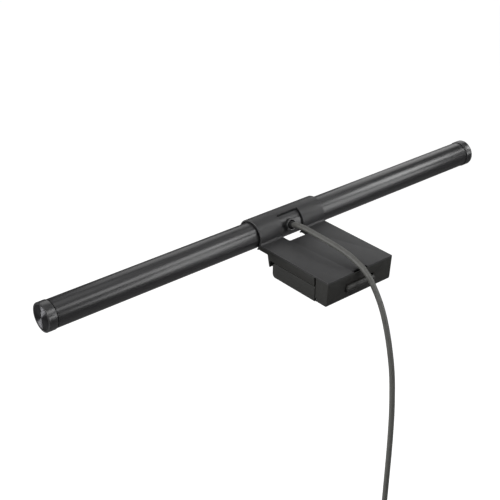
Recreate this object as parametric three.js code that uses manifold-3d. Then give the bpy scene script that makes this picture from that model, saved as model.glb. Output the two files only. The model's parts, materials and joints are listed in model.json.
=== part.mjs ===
// Monitor light bar: a tube lamp that turns in a sleeve, on a clip that hooks over a monitor's top edge.
// Millimetres, +X along the bar, +Y behind the monitor, +Z up.
// The origin is where the clip meets the monitor: the face of the front lip's pad, the face of the
// rest pads, and the middle of the clip's width.

import * as THREE from "three";
import { mergeVertices } from "three/addons/utils/BufferGeometryUtils.js";
import Module from "manifold-3d";

const wasm = await Module();
wasm.setup();

// ---- Driving dimensions -------------------------------------------------------------------------

const GAP = 0.3; // clearance between neighbouring pieces
const WIDE = 40; // half of a tool that cuts right across the clip

// Lamp bar
const BAR_LENGTH = 450;
const AXIS_Y = -25.2; // the tube's axis, in front of the monitor
const AXIS_Z = 12.4;
const TUBE_RADIUS = 10.9;
const TUBE_BORE = 9.6;
const CAP_RADIUS = 11.35;
const CAP_LENGTH = 7.5;
const LIGHT_TILT = 15; // degrees that the light leans forward from straight down
const LIGHT_HALF_ANGLE = 38; // half of the slot that the diffuser fills, in degrees
const SOCKET_ANGLE = 18; // degrees that the socket points above level, to the rear
const SOCKET_X = 1.5;
const TOUCH_X = 60;
const TOUCH_ANGLE = 150;

// Saddle: the sleeve round the tube and the plate on top of the clip
const SLEEVE_OUTER = 13.1;
const SLEEVE_INNER = 12.0;
const SLEEVE_FROM = -45; // degrees round the tube, from straight behind
const SLEEVE_TO = 205;
const HALF_WIDTH = 34.5;
const PLATE_TOP = 8.85;
const PLATE_THICK = 1.2;
const PLATE_REAR = 64.2;
const WINDOW_HALF = 11.3;
const WINDOW_FRONT = AXIS_Y + 3.9;
const WINDOW_REAR = -3.7;

// Clip
const STRIP_BOTTOM = 0.3;
const STRIP_WALL = 2.2;
const LIP_BOTTOM = -5.6;
const FRAME_REAR = 49.5;
const FRAME_FLOOR = 1.7;
const FLOOR_THICK = 1.5;
const CHANNEL_HALF = 16; // the way under the plate that the lever swings in
const FOOT_FRONT = 2.4;
const FOOT_REAR = 50.2;
const FOOT_TOP = -GAP;
const FOOT_BOTTOM = -13.2;
const FOOT_WALL = 2.1;
const BLOCK_FRONT = 51.2;
const BLOCK_BOTTOM = -13.4;
const BLOCK_WALL = 1.8;
const HINGE_Y = 51.0;
const HINGE_Z = -11.6;
const KNUCKLE_RADIUS = 1.75;
const PIN_RADIUS = 0.8;
const PIN_BORE = 1.0;
const BLOCK_GROOVE = 2.5; // room in the block for the foot's edge as it swings round the pin
const BLOCK_LEAN = 1; // how far the rear face slopes forward, top to bottom
const TAB_HALF = 15; // the finger tab on the end of the lever
const TAB_BOTTOM = -6.7;
const TAB_TOP = -0.6;
const TAB_NOSE = 62.9; // where the tab's round nose starts
const TAB_SWEEP = 17.7; // from the hinge to just outside the nose

// Cord
const CORD_RADIUS = 2.25;
const COIL_Y = 135.5; // the middle of the tied coil
const COIL_Z = -222;
const LAYER_RADII = [26.3, 21.8]; // the outer layer is wound first
const LAYER_TURNS = 3.2;
const TURN_PITCH = 4.6;
const TAIL_X = 8.2;
const TAIL_RADIUS = 13;

// ---- Finishes -----------------------------------------------------------------------------------

const FINISHES = {
  anodised: { color: 0x2e2f31, roughness: 0.38, metalness: 0.85 },
  saddle: { color: 0x35363a, roughness: 0.45, metalness: 0.7 },
  plastic: { color: 0x2a2b2a, roughness: 0.6, metalness: 0 },
  gloss: { color: 0x0c0c0e, roughness: 0.12, metalness: 0 },
  turned: { color: 0x4a4b4e, roughness: 0.25, metalness: 1 },
  diffuser: { color: 0xf1efe8, roughness: 0.5, metalness: 0 },
  bare: { color: 0xa9abae, roughness: 0.35, metalness: 1 },
  steel: { color: 0x9a9c9f, roughness: 0.35, metalness: 1 },
  board: { color: 0xe8e8e4, roughness: 0.5, metalness: 0 },
  circuit: { color: 0x1d4a32, roughness: 0.45, metalness: 0 },
  rubber: { color: 0x1a1a1a, roughness: 0.9, metalness: 0 },
  cord: { color: 0x2b2b29, roughness: 0.6, metalness: 0 },
};

// ---- Shape helpers ------------------------------------------------------------------------------

const MERGE_DISTANCE = 1e-4;
const radians = THREE.MathUtils.degToRad;

// A closed three.js geometry as a solid that can be cut and joined.
function toSolid(geometry) {
  const bare = geometry.clone();
  bare.deleteAttribute("normal");
  bare.deleteAttribute("uv");
  const merged = mergeVertices(bare, MERGE_DISTANCE);
  const index = merged.index.array;
  const corners = [];
  for (let i = 0; i < index.length; i += 3) {
    const [a, b, c] = index.slice(i, i + 3);
    if (a !== b && b !== c && c !== a) {
      corners.push(a, b, c);
    }
  }
  const vertProperties = new Float32Array(merged.attributes.position.array);
  return new wasm.Manifold(
    new wasm.Mesh({ numProp: 3, vertProperties, triVerts: new Uint32Array(corners) }),
  );
}

function toGeometry(solid) {
  const { vertProperties, triVerts } = solid.getMesh();
  const geometry = new THREE.BufferGeometry();
  geometry.setAttribute("position", new THREE.BufferAttribute(vertProperties, 3));
  geometry.setIndex(new THREE.BufferAttribute(triVerts, 1));
  geometry.computeVertexNormals();
  return geometry;
}

const join = (...solids) => solids.reduce((whole, next) => whole.add(next));
const cut = (solid, ...tools) => tools.reduce((left, tool) => left.subtract(tool), solid);

const box = (x, y, z) => {
  const geometry = new THREE.BoxGeometry(x[1] - x[0], y[1] - y[0], z[1] - z[0]);
  geometry.translate((x[0] + x[1]) / 2, (y[0] + y[1]) / 2, (z[0] + z[1]) / 2);
  return toSolid(geometry);
};

// How a flat outline drawn in the plane across each axis is turned to be extruded along it.
const toVector = (point) => new THREE.Vector3(...point);
const turnedTo = (...axes) => new THREE.Matrix4().makeBasis(...axes.map(toVector));
const ALONG = {
  x: turnedTo([0, 1, 0], [0, 0, 1], [1, 0, 0]),
  y: turnedTo([1, 0, 0], [0, 0, 1], [0, -1, 0]),
  z: turnedTo([1, 0, 0], [0, 1, 0], [0, 0, 1]),
};

// An outline extruded from one place to another along an axis. The outline's two coordinates are
// y, z along x; x, z along y; and x, y along z.
function prism(axis, outline, from, to) {
  const shape = new THREE.Shape(toPoints(outline));
  const geometry = new THREE.ExtrudeGeometry(shape, { depth: to - from, bevelEnabled: false });
  geometry.translate(0, 0, axis === "y" ? -to : from);
  geometry.applyMatrix4(ALONG[axis]);
  return toSolid(geometry);
}

const toPoints = (pairs) => pairs.map(([u, v]) => new THREE.Vector2(u, v));

// Points along an arc, with the angle in degrees.
function arc(centre, radius, from, to, steps) {
  const points = [];
  for (let i = 0; i <= steps; i += 1) {
    const angle = radians(from + ((to - from) * i) / steps);
    points.push([centre[0] + radius * Math.cos(angle), centre[1] + radius * Math.sin(angle)]);
  }
  return points;
}

// A rectangle with its own radius at each corner: low-low, high-low, high-high, low-high.
function roundedOutline(u, v, radii, steps = 5) {
  const [a, b, c, d] = radii;
  return [
    ...arc([u[0] + a, v[0] + a], a, 180, 270, steps),
    ...arc([u[1] - b, v[0] + b], b, 270, 360, steps),
    ...arc([u[1] - c, v[1] - c], c, 0, 90, steps),
    ...arc([u[0] + d, v[1] - d], d, 90, 180, steps),
  ];
}

// A body turned about an axis through a point. The profile is [radius, distance along the axis].
function turned(axis, centre, profile, segments = 24) {
  const geometry = new THREE.LatheGeometry(toPoints(profile), segments);
  if (axis === "x") {
    geometry.rotateZ(-Math.PI / 2);
  }
  if (axis === "z") {
    geometry.rotateX(Math.PI / 2);
  }
  geometry.translate(...centre);
  return toSolid(geometry);
}

const rod = (axis, centre, radius, from, to, segments = 16) =>
  turned(axis, centre, [[0, from], [radius, from], [radius, to], [0, to]], segments);

const smooth = (points) => new THREE.CatmullRomCurve3(points.map(toVector), false, "centripetal");

// A tube of round section along a curve.
function alongCurve(curve, radius, steps, sides) {
  const section = new THREE.Shape(toPoints(arc([0, 0], radius, 0, 360 - 360 / sides, sides - 1)));
  const settings = { steps, extrudePath: curve, bevelEnabled: false };
  return toSolid(new THREE.ExtrudeGeometry(section, settings));
}

const lightBar = new THREE.Group();

// A named piece, in a group that places it.
function piece(name, solid, finish, group = lightBar) {
  const mesh = new THREE.Mesh(toGeometry(solid), new THREE.MeshStandardMaterial(FINISHES[finish]));
  mesh.name = name;
  group.add(mesh);
}

const SIDES = [["left", -1], ["right", 1]];

// A stretch of X on one side of the middle, low end first.
const span = (sign, from, to) => [sign * from, sign * to].sort((a, b) => a - b);

// ---- Lamp bar -----------------------------------------------------------------------------------

// Everything in the bar is drawn round the tube's axis. In the core the light points straight down.
const bar = new THREE.Group();
bar.position.set(0, AXIS_Y, AXIS_Z);
lightBar.add(bar);
const core = new THREE.Group();
core.rotation.x = -radians(LIGHT_TILT);
bar.add(core);

const TUBE_END = BAR_LENGTH / 2 - CAP_LENGTH - GAP;
const CENTRE = [0, 0, 0];
const DOWN = -90;

// A group whose +Z points out of the tube at an angle in the bar, at a place along it.
function outward(angle, x) {
  const group = new THREE.Group();
  group.position.x = x;
  group.rotation.x = radians(angle - 90 + LIGHT_TILT);
  core.add(group);
  return group;
}

// The same turn for a solid that cuts a piece of the core.
const turnedOut = (solid, angle, x) =>
  solid.rotate([angle - 90 + LIGHT_TILT, 0, 0]).translate([x, 0, 0]);

const slotOutline = (length, width) => {
  const radii = Array(4).fill(width / 2 - 0.01);
  return roundedOutline([-length / 2, length / 2], [-width / 2, width / 2], radii, 4);
};

const TOUCH_LENGTH = 30;
const TOUCH_WIDTH = 7;

function makeTube() {
  const edge = LIGHT_HALF_ANGLE;
  const outline = [
    ...arc([0, 0], TUBE_RADIUS, DOWN + edge, DOWN - edge + 360, 36),
    ...arc([0, 0], TUBE_BORE, DOWN - edge + 360, DOWN + edge, 36),
  ];
  const socketHole = turnedOut(rod("z", CENTRE, 3.2, 5, 14), SOCKET_ANGLE, SOCKET_X);
  const slot = prism("z", slotOutline(TOUCH_LENGTH + 2 * GAP, TOUCH_WIDTH + 2 * GAP), 5, 14);
  const touchHole = turnedOut(slot, TOUCH_ANGLE, TOUCH_X);
  const tube = cut(prism("x", outline, -TUBE_END, TUBE_END), socketHole, touchHole);
  piece("bar_tube", tube, "anodised", core);
}

function makeDiffuser() {
  const face = LIGHT_HALF_ANGLE - 1.7;
  const wing = LIGHT_HALF_ANGLE + 8;
  const wingTop = TUBE_BORE - GAP;
  const outline = [
    ...arc([0, 0], TUBE_RADIUS - 0.1, DOWN - face, DOWN + face, 16),
    ...arc([0, 0], wingTop, DOWN + face, DOWN + wing, 2),
    ...arc([0, 0], wingTop - 1, DOWN + wing, DOWN - wing, 16),
    ...arc([0, 0], wingTop, DOWN - wing, DOWN - face, 2),
  ];
  piece("diffuser", prism("x", outline, -TUBE_END, TUBE_END), "diffuser", core);
}

const RAIL_END = TUBE_END - 6.7;
const RAIL_BOTTOM = -3.8;
const SCREW_CHANNEL = 1.65;

// The aluminium rail that carries the light strip, with a screw channel along its middle.
function makeLight() {
  const rail = join(
    box([-RAIL_END, RAIL_END], [-8.4, 8.4], [RAIL_BOTTOM, RAIL_BOTTOM + 1.2]),
    box([-RAIL_END, RAIL_END], [-1.2, 1.2], [RAIL_BOTTOM + 1, -2]),
    rod("x", CENTRE, 2.7, -RAIL_END, RAIL_END, 16),
  );
  const channel = rod("x", CENTRE, SCREW_CHANNEL, -BAR_LENGTH, BAR_LENGTH, 12);
  piece("led_rail", cut(rail, channel), "bare", core);

  const stripTop = RAIL_BOTTOM - GAP;
  const CHIPS = 34;
  const CHIP_PITCH = 12;
  const CHIP_HALF = 1.4;
  const chips = [];
  for (let i = 0; i < CHIPS; i += 1) {
    const x = (i - (CHIPS - 1) / 2) * CHIP_PITCH;
    const across = [x - CHIP_HALF, x + CHIP_HALF];
    chips.push(box(across, [-CHIP_HALF, CHIP_HALF], [stripTop - 1.8, stripTop - 0.9]));
  }
  const stripHalf = (CHIPS * CHIP_PITCH) / 2 + 1;
  const strip = box([-stripHalf, stripHalf], [-5, 5], [stripTop - 1, stripTop]);
  piece("led_strip", join(strip, ...chips), "board", core);
}

function makeElectronics() {
  const boardTop = 4.6;
  const onBoard = boardTop - 0.1;
  const driver = join(
    box([-66, -10], [-6.6, 6.6], [boardTop - 1, boardTop]),
    box([-62, -50], [-3.4, 3.4], [onBoard, 7]),
    box([-44, -36], [-3, 3], [onBoard, 6.4]),
    rod("z", [-26, 0, 0], 3.2, onBoard, 6.9, 16),
  );
  piece("driver_board", driver, "circuit", core);

  const touch = outward(TOUCH_ANGLE, TOUCH_X);
  const wall = cut(
    rod("x", CENTRE, TUBE_RADIUS - 0.05, -TOUCH_LENGTH, TOUCH_LENGTH, 48),
    rod("x", CENTRE, TUBE_BORE + 0.2, -TOUCH_LENGTH - 1, TOUCH_LENGTH + 1, 48),
  );
  const lens = prism("z", slotOutline(TOUCH_LENGTH, TOUCH_WIDTH), 5, 14).intersect(wall);
  piece("touch_lens", lens, "gloss", touch);
  piece("touch_board", box([-14, 14], [-3.4, 3.4], [7, 8]), "circuit", touch);
}

// The raised collar on the tube and the bush that the cord comes out of.
const BUSH_END = 15.4;
function makeSocket() {
  const socket = outward(SOCKET_ANGLE, SOCKET_X);
  const COLLAR = 4.9;
  const COLLAR_TOP = 13.6;
  const collar = turned("z", CENTRE, [
    [3.5, 9], [COLLAR, 9], [COLLAR, COLLAR_TOP - 0.5], [COLLAR - 0.5, COLLAR_TOP],
    [4, COLLAR_TOP], [3.5, COLLAR_TOP - 0.5], [3.5, 9],
  ]);
  const seat = rod("x", CENTRE, TUBE_RADIUS + GAP, -10, 10, 44);
  piece("socket_collar", cut(collar, seat), "anodised", socket);
  const bush = turned("z", CENTRE, [
    [0, 6.9], [3.9, 6.9], [3.9, 8.1], [2.85, 8.1], [2.85, 13.4], [3.05, 13.6], [3.05, 14.1],
    [2.5, BUSH_END], [0, BUSH_END],
  ], 16);
  piece("cord_bush", bush, "rubber", socket);
}

// End caps: a turned cup with a plug into the tube, held by a screw under a turned disc.
function makeCaps() {
  const end = BAR_LENGTH / 2;
  const shoulder = end - CAP_LENGTH;
  for (const [side, sign] of SIDES) {
    const group = new THREE.Group();
    group.rotation.z = sign < 0 ? Math.PI : 0;
    bar.add(group);
    const cap = turned("x", CENTRE, [
      [1.75, shoulder - 6], [8, shoulder - 6], [8, shoulder], [CAP_RADIUS, shoulder],
      [CAP_RADIUS, end - 0.4], [CAP_RADIUS - 0.4, end], [9.95, end], [9.95, end - 0.9],
      [2.9, end - 0.9], [2.9, end - 3.8], [1.75, end - 3.8], [1.75, shoulder - 6],
    ], 36);
    piece(`end_cap_${side}`, cap, "anodised", group);
    piece(`cap_disc_${side}`, rod("x", CENTRE, 9.6, end - 0.6, end, 36), "turned", group);
    const screw = join(
      rod("x", CENTRE, 2.6, end - 3.5, end - 1.9, 14),
      rod("x", CENTRE, 1.35, RAIL_END - 9, end - 3, 8),
    );
    piece(`cap_screw_${side}`, cut(screw, rod("x", CENTRE, 1.1, end - 2.7, end, 6)), "steel", group);
  }
}

// ---- Saddle and clip ----------------------------------------------------------------------------

const AXIS = [AXIS_Y, AXIS_Z];
const PLATE_BOTTOM = PLATE_TOP - PLATE_THICK;
const FRAME_SCREWS = [[24.5, 9.8], [24.5, 36.8]];
const BLOCK_SCREW = [25.5, 58];

// A round boss under the plate that a screw from below goes into.
const boss = ([x, y], outer, inner, bottom) =>
  turned("z", [x, y, 0], [
    [inner, bottom], [outer, bottom], [outer, PLATE_BOTTOM + 0.4], [inner, PLATE_BOTTOM + 0.4],
    [inner, bottom],
  ], 12);

function makeSaddle() {
  const sleeve = [
    ...arc(AXIS, SLEEVE_OUTER, SLEEVE_FROM, SLEEVE_TO, 36),
    ...arc(AXIS, SLEEVE_INNER, SLEEVE_TO, SLEEVE_FROM, 36),
  ];
  const FOLD = 1.8; // inside radius where the plate meets the sleeve
  const foldStart = AXIS_Y + 12.4;
  const foldEnd = AXIS_Y + 14.4;
  const fold = [
    [foldStart, PLATE_TOP - 0.2], [foldEnd, PLATE_TOP - 0.2], [foldEnd, PLATE_TOP],
    ...arc([foldEnd + 0.2, PLATE_TOP + FOLD], FOLD, 260, 190, 4), [foldStart, PLATE_TOP + 1.6],
  ];
  const plate = roundedOutline(
    [-HALF_WIDTH, HALF_WIDTH], [AXIS_Y + 11.8, PLATE_REAR], [0.01, 0.01, 0.8, 0.8],
  );
  const window = roundedOutline(
    [-WINDOW_HALF, WINDOW_HALF], [WINDOW_FRONT, WINDOW_REAR], [1.5, 1.5, 1.5, 1.5], 4,
  );
  const notch = roundedOutline([-7.5, 7.5], [PLATE_REAR - 2.4, PLATE_REAR + 2], [1, 1, 1, 1], 4);
  const bosses = SIDES.flatMap(([, sign]) => [
    ...FRAME_SCREWS.map(([x, y]) => boss([sign * x, y], 2.8, 1.6, FRAME_FLOOR + FLOOR_THICK + GAP)),
    boss([sign * BLOCK_SCREW[0], BLOCK_SCREW[1]], 2.9, 1.75, 3),
  ]);
  const whole = join(
    prism("x", sleeve, -HALF_WIDTH, HALF_WIDTH),
    prism("x", fold, -HALF_WIDTH, HALF_WIDTH),
    prism("z", plate, PLATE_BOTTOM, PLATE_TOP),
    ...bosses,
  );
  const saddle = cut(
    whole,
    prism("z", window, AXIS_Z - 2 * SLEEVE_OUTER, AXIS_Z + 2 * SLEEVE_OUTER),
    prism("z", notch, PLATE_BOTTOM - 1, PLATE_TOP + 1),
  );
  piece("saddle", saddle, "saddle");
}

// Thin plastic bearings in the sleeve that the tube turns in, one on each side of the window.
function makeLiners() {
  const outline = [
    ...arc(AXIS, SLEEVE_INNER - GAP, SLEEVE_FROM + 3, SLEEVE_TO - 3, 28),
    ...arc(AXIS, TUBE_RADIUS + GAP, SLEEVE_TO - 3, SLEEVE_FROM + 3, 28),
  ];
  for (const [side, sign] of SIDES) {
    const ends = span(sign, WINDOW_HALF + 1.2, HALF_WIDTH - 1.2);
    piece(`sleeve_liner_${side}`, prism("x", outline, ...ends), "rubber");
  }
}

// The plastic frame under the plate: side strips, floor, ribs and the front lip.
function makeFrame() {
  const top = PLATE_BOTTOM - GAP;
  const outline = [
    [-18, top], [-18, 4.2], [-4, 4.2], [-1.9, LIP_BOTTOM], [-0.9, LIP_BOTTOM],
    [-0.9, STRIP_BOTTOM], [FRAME_REAR, STRIP_BOTTOM], [FRAME_REAR, top],
  ];
  const inner = HALF_WIDTH - STRIP_WALL;
  const floorTop = FRAME_FLOOR + FLOOR_THICK;
  const rib = CHANNEL_HALF + 2;
  const crossWall = 38.5;
  const tools = [
    rod("x", [0, ...AXIS], SLEEVE_OUTER + GAP, -WIDE, WIDE, 48),
    box([-WINDOW_HALF - GAP, WINDOW_HALF + GAP], [-19, WINDOW_REAR], [0, 9]),
    box([-inner, inner], [-0.9, FRAME_REAR + 1], [-1, FRAME_FLOOR]),
    box([-CHANNEL_HALF, CHANNEL_HALF], [1, crossWall], [floorTop, 9]),
    box([-CHANNEL_HALF, CHANNEL_HALF], [crossWall + 1.8, FRAME_REAR + 1], [-1, 9]),
  ];
  for (const [, sign] of SIDES) {
    tools.push(box(span(sign, rib, inner), [1, FRAME_REAR - 1.5], [floorTop, 9]));
    for (const [x, y] of FRAME_SCREWS) {
      tools.push(rod("z", [sign * x, y, 0], 1.7, 0, 9, 12));
    }
  }
  piece("clip_frame", cut(prism("x", outline, -HALF_WIDTH, HALF_WIDTH), ...tools), "plastic");
  piece("lip_pad", box([-30, 30], [-0.6, 0], [LIP_BOTTOM + 0.4, -0.4]), "rubber");
}

function makeRestPads() {
  for (const [side, sign] of SIDES) {
    const across = span(sign, 17.5, 31.8);
    const holes = FRAME_SCREWS.map(([x, y]) => rod("z", [sign * x, y, 0], 2.7, -1, 2, 12));
    const outline = roundedOutline(across, [3.5, 44], [2, 2, 2, 2], 3);
    const pad = prism("z", outline, 0, FRAME_FLOOR - GAP);
    piece(`rest_pad_${side}`, cut(pad, ...holes), "rubber");
    FRAME_SCREWS.forEach(([x, y], i) => {
      const centre = [sign * x, y, 0];
      const screw = join(
        rod("z", centre, 2.3, 0.3, FRAME_FLOOR - GAP, 12),
        rod("z", centre, 1.3, 1, PLATE_BOTTOM - 0.4, 8),
      );
      piece(`frame_screw_${side}_${i + 1}`, cut(screw, rod("z", centre, 1, 0, 0.9, 6)), "steel");
    });
  }
}

// ---- Rear block ---------------------------------------------------------------------------------

const CHANNEL_FLOOR = -10.8;
const BLOCK_KNUCKLES = [[17.2, 19.6], [30.4, 33.2]];
const FOOT_KNUCKLE = [20, 30];
const HINGE = [HINGE_Y, HINGE_Z];
const hingeRod = (radius, from, to, segments = 16) =>
  rod("x", [0, ...HINGE], radius, from, to, segments);
const spans = (from, to) => SIDES.map(([, sign]) => span(sign, from, to));

function makeBlock() {
  const top = PLATE_BOTTOM - GAP;
  const heel = 3; // radius of the edge between the rear face and the underside
  const side = [
    ...arc([BLOCK_FRONT + 0.5, BLOCK_BOTTOM + 0.5], 0.5, 180, 270, 4),
    ...arc([PLATE_REAR - BLOCK_LEAN - heel, BLOCK_BOTTOM + heel], heel, 270, 360, 6),
    [PLATE_REAR, top],
    [BLOCK_FRONT, top],
  ];
  const back = roundedOutline(
    [-HALF_WIDTH, HALF_WIDTH], [BLOCK_BOTTOM, top], [2.5, 2.5, 0.01, 0.01], 5,
  );
  const pocketFloor = -9.2;
  const rear = PLATE_REAR - BLOCK_WALL;
  // The tab's slot, with its upper edge hollowed round the hinge for the nose to swing through.
  const tabMiddle = (TAB_BOTTOM + TAB_TOP) / 2;
  const slotHalf = TAB_HALF + 0.6;
  const slot = roundedOutline(
    [-slotHalf, slotHalf], [TAB_BOTTOM - 0.5, TAB_TOP + 0.5], [3.4, 3.4, 3.4, 3.4], 5,
  );
  const sweep = hingeRod(TAB_SWEEP, -slotHalf + 0.6, slotHalf - 0.6, 64)
    .intersect(box([-WIDE, WIDE], [rear - 0.5, PLATE_REAR + 1], [tabMiddle, 9]));
  const across = prism("x", side, -HALF_WIDTH, HALF_WIDTH);
  const body = cut(
    across.intersect(prism("y", back, BLOCK_FRONT - 1, PLATE_REAR + 1)),
    hingeRod(BLOCK_GROOVE, -WIDE, WIDE),
    box([-CHANNEL_HALF - 0.6, CHANNEL_HALF + 0.6], [50, rear], [CHANNEL_FLOOR, 9]),
    prism("y", slot, rear - 1, PLATE_REAR + 1),
    sweep,
    box([-8, 8], [rear - 1, PLATE_REAR - 0.8], [TAB_TOP + 3, 9]),
    ...spans(18.3, 32.7).map((x) => box(x, [BLOCK_FRONT + 2, rear], [pocketFloor, 9])),
  );
  // The knuckles' roots stop above the foot's lower edge as it swings past.
  const root = [HINGE_Z - 1.2, HINGE_Z + KNUCKLE_RADIUS];
  const knuckles = BLOCK_KNUCKLES.flatMap(([from, to]) => spans(from, to)).map((x) =>
    join(hingeRod(KNUCKLE_RADIUS, ...x), box(x, [HINGE_Y, HINGE_Y + 3.2], root)));
  const screwHoles = SIDES.flatMap(([, sign]) => {
    const centre = [sign * BLOCK_SCREW[0], BLOCK_SCREW[1], 0];
    return [rod("z", centre, 1.75, -20, 0, 12), rod("z", centre, 3, -20, -11.3, 16)];
  });
  const block = cut(join(body, ...knuckles), hingeRod(PIN_BORE, -WIDE, WIDE, 12), ...screwHoles);
  piece("rear_block", block, "plastic");

  for (const [name, sign] of SIDES) {
    const centre = [sign * BLOCK_SCREW[0], BLOCK_SCREW[1], 0];
    const weight = box(
      span(sign, 18.6, 32.4), [BLOCK_FRONT + 2.3, rear - GAP], [pocketFloor + GAP, 2.6],
    );
    piece(`counterweight_${name}`, cut(weight, rod("z", centre, 1.9, -20, 9, 12)), "steel");
    const screw = join(
      rod("z", centre, 2.6, -13, -11.6, 14),
      rod("z", centre, 1.4, -12, PLATE_BOTTOM - 0.5, 8),
    );
    piece(`block_screw_${name}`, cut(screw, rod("z", centre, 1.2, -14, -12.3, 6)), "steel");
  }
  piece("hinge_pin", hingeRod(PIN_RADIUS, -33, 33, 12), "steel");
}

// A torsion spring on the pin: one leg lies on the block's floor, the other lifts the lever.
function makeSprings() {
  const WIRE = 0.27; // radius of the wire
  const COIL = 1.35; // radius of the coil
  const INNER_X = 5; // where each spring starts
  const TURNS = 4;
  const TURN_STEPS = 8;
  const PITCH = 0.75;
  for (const [side, sign] of SIDES) {
    const points = [[sign * INNER_X, HINGE_Y + 8, HINGE_Z + COIL]];
    for (let i = 0; i <= TURNS * TURN_STEPS; i += 1) {
      const angle = radians(90 + (360 * i) / TURN_STEPS);
      const x = sign * (INNER_X + (PITCH * i) / TURN_STEPS);
      points.push([x, HINGE_Y + COIL * Math.cos(angle), HINGE_Z + COIL * Math.sin(angle)]);
    }
    points.push([sign * (INNER_X + PITCH * TURNS), HINGE_Y - 7.5, -7.7]);
    piece(`foot_spring_${side}`, alongCurve(smooth(points), WIRE, 52, 4), "steel");
  }
}

// ---- Foot ---------------------------------------------------------------------------------------

const LEVER_Z = [-7, -4.6];
const LEVER_HALF = 14;
const LEVER_SCREW = [11.4, 43.5];

function makeFoot() {
  const side = roundedOutline(
    [FOOT_FRONT, FOOT_REAR], [FOOT_BOTTOM, FOOT_TOP], [4, 0.3, 0.3, 3], 5,
  );
  const back = roundedOutline(
    [-HALF_WIDTH, HALF_WIDTH], [FOOT_BOTTOM, FOOT_TOP], [1, 1, 0.3, 0.3], 3,
  );
  const inner = HALF_WIDTH - FOOT_WALL;
  const inside = [FOOT_FRONT + FOOT_WALL, FOOT_REAR - FOOT_WALL];
  const floor = FOOT_BOTTOM + FOOT_WALL;
  const groove = KNUCKLE_RADIUS + GAP;
  const leverSlot = [-LEVER_HALF - 0.6, LEVER_HALF + 0.6];
  const across = prism("x", side, -HALF_WIDTH, HALF_WIDTH);
  const body = cut(
    across.intersect(prism("y", back, FOOT_FRONT - 1, FOOT_REAR + 1)),
    box([-inner, inner], inside, [floor, 1]),
    box(leverSlot, [inside[1] - 1, FOOT_REAR + 1], [floor, LEVER_Z[1] + 0.6]),
    hingeRod(groove, -FOOT_KNUCKLE[0] + 0.2, FOOT_KNUCKLE[0] - 0.2),
    ...spans(FOOT_KNUCKLE[1] + 0.2, 33.5).map((x) => hingeRod(groove, ...x)),
  );
  // Ribs that the stiffener plate lies on.
  const ribs = spans(21, 22.6).map((x) =>
    box(x, [inside[0] - 0.5, inside[1] + 0.5], [floor - 0.5, -4.5]));
  const barrels = spans(...FOOT_KNUCKLE).map((x) => hingeRod(KNUCKLE_RADIUS, ...x));
  const shell = cut(join(body, ...ribs, ...barrels), hingeRod(PIN_BORE, -WIDE, WIDE, 12));
  piece("foot_shell", shell, "plastic");

  const screws = SIDES.map(([, sign]) => [sign * LEVER_SCREW[0], LEVER_SCREW[1], 0]);
  const screwHoles = screws.map((centre) => rod("z", centre, 1.25, -9, 0, 12));
  const plate = box([-inner + GAP, inner - GAP], [inside[0] + GAP, inside[1] - GAP], [-4.2, -3.1]);
  piece("foot_plate", cut(plate, ...screwHoles), "steel");
  const pad = prism("z", roundedOutline([-30, 30], [7, 46], [3, 3, 3, 3], 4), -2.8, FOOT_TOP);
  piece("foot_pad", pad, "rubber");

  // The lever: a plate over the hinge pin that ends in the finger tab, a bar with a round nose.
  const tabFront = 60.2;
  const tabRadius = (TAB_TOP - TAB_BOTTOM) / 2;
  const nose = arc([TAB_NOSE, TAB_BOTTOM + tabRadius], tabRadius, -90, 90, 12);
  const tab = [[tabFront, TAB_BOTTOM], ...nose, [tabFront, TAB_TOP]];
  const ends = Array(4).fill(tabRadius - 0.1);
  const pill = roundedOutline([-TAB_HALF, TAB_HALF], [TAB_BOTTOM, TAB_TOP], ends, 6);
  const lever = join(
    box([-LEVER_HALF, LEVER_HALF], [39, tabFront + 0.8], LEVER_Z),
    prism("x", tab, -TAB_HALF, TAB_HALF).intersect(prism("y", pill, tabFront - 2, PLATE_REAR + 2)),
  );
  piece("foot_lever", cut(lever, ...screwHoles), "plastic");
  screws.forEach((centre, i) => {
    const screw = join(
      rod("z", centre, 1.9, -8.2, -7.3, 10),
      rod("z", centre, 0.95, -7.5, -3.3, 8),
    );
    piece(`lever_screw_${SIDES[i][0]}`, screw, "steel");
  });
}

// ---- Cord ---------------------------------------------------------------------------------------

// The free stretch, from the bush to where the cord meets the coil, as x, y, z.
const ROUTE = [
  [1.5, -10.24, 17.26],
  [1.5, -5.9, 18.5],
  [1.3, 3.1, 19.1],
  [1.0, 14, 18.6],
  [0.5, 24.8, 18.0],
  [0, 35.5, 17.1],
  [0, 46.5, 16.0],
  [0, 54.2, 14.6],
  [0, 60.8, 12.4],
  [0, 66.8, 10.2],
  [0, 71.9, 6.6],
  [0, 75.8, 3.0],
  [0, 80, -2.0],
  [0, 83.5, -6.8],
  [0, 87.2, -12.8],
  [0, 91.1, -20.8],
  [0, 94.5, -29.8],
  [0, 97.5, -39.2],
  [0, 100.3, -49.7],
  [0, 102.7, -60.4],
  [0, 104.4, -70.7],
  [0.2, 106, -84],
  [0.5, 107.6, -102],
  [0.9, 108.6, -122],
  [1.2, 109.1, -144],
  [1.4, COIL_Y - LAYER_RADII[0], -168],
  [1.5, COIL_Y - LAYER_RADII[0], COIL_Z + 16.6],
];

const TRANSITION_TURNS = 0.5;
const COILED_TURNS = 2 * LAYER_TURNS + TRANSITION_TURNS;
const ALL_TURNS = 8;
const COIL_X = [1.5 - LAYER_TURNS * TURN_PITCH, 1.5];

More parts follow.
